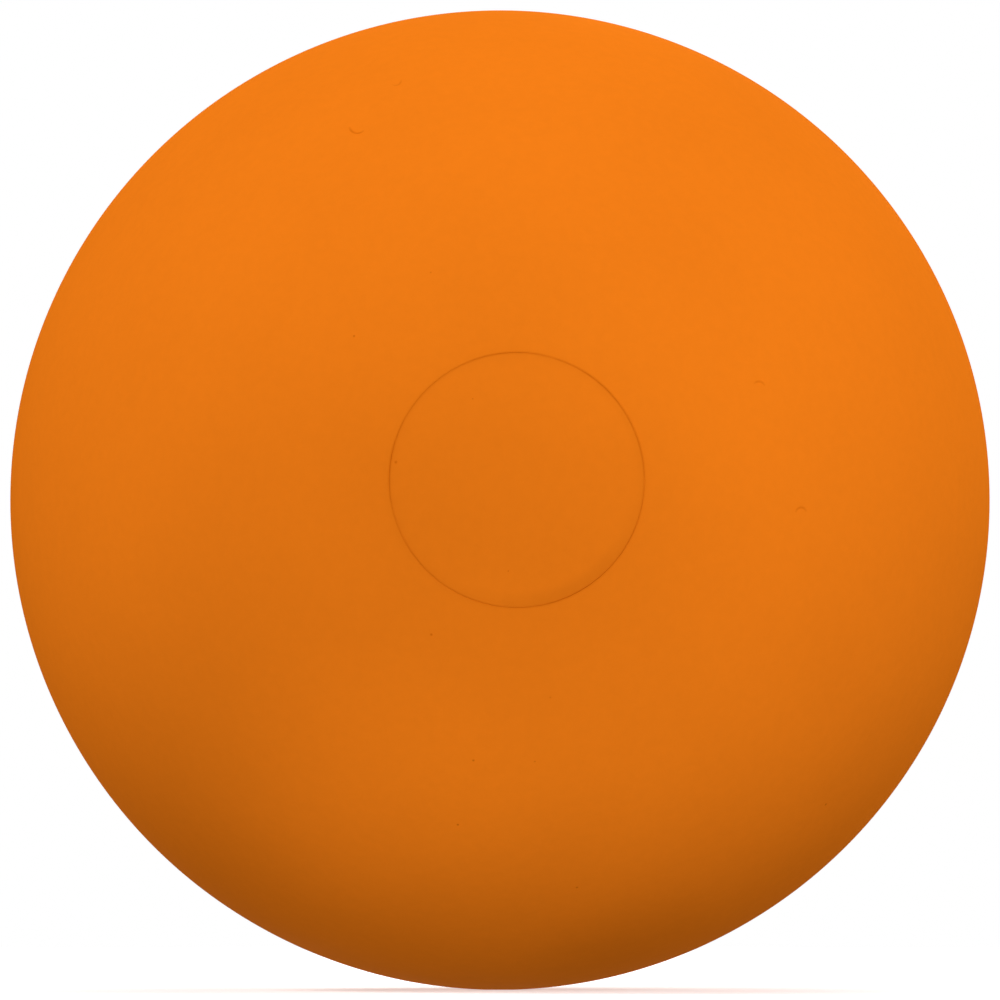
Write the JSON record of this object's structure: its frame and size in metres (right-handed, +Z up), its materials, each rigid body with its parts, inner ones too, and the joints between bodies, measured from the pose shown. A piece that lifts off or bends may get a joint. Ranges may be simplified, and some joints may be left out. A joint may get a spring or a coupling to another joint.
{
  "type": "lacrosse ball",
  "caption": "Solid matt rubber lacrosse ball with a small flush round disc inside a hairline ring, for throwing and catching with a stick.",
  "frame": {"origin": "centre of the ball", "axes": "+Z up, -Y along the badge disc's axis and out of its face, +X to the right of someone who faces the disc"},
  "size_m": [0.0634, 0.0636, 0.0634],
  "materials": {
    "orange_rubber": "matte"
  },
  "bodies": {
    "root": {"ball_body": "orange_rubber", "badge_disc": "orange_rubber"}
  },
  "joints": []
}
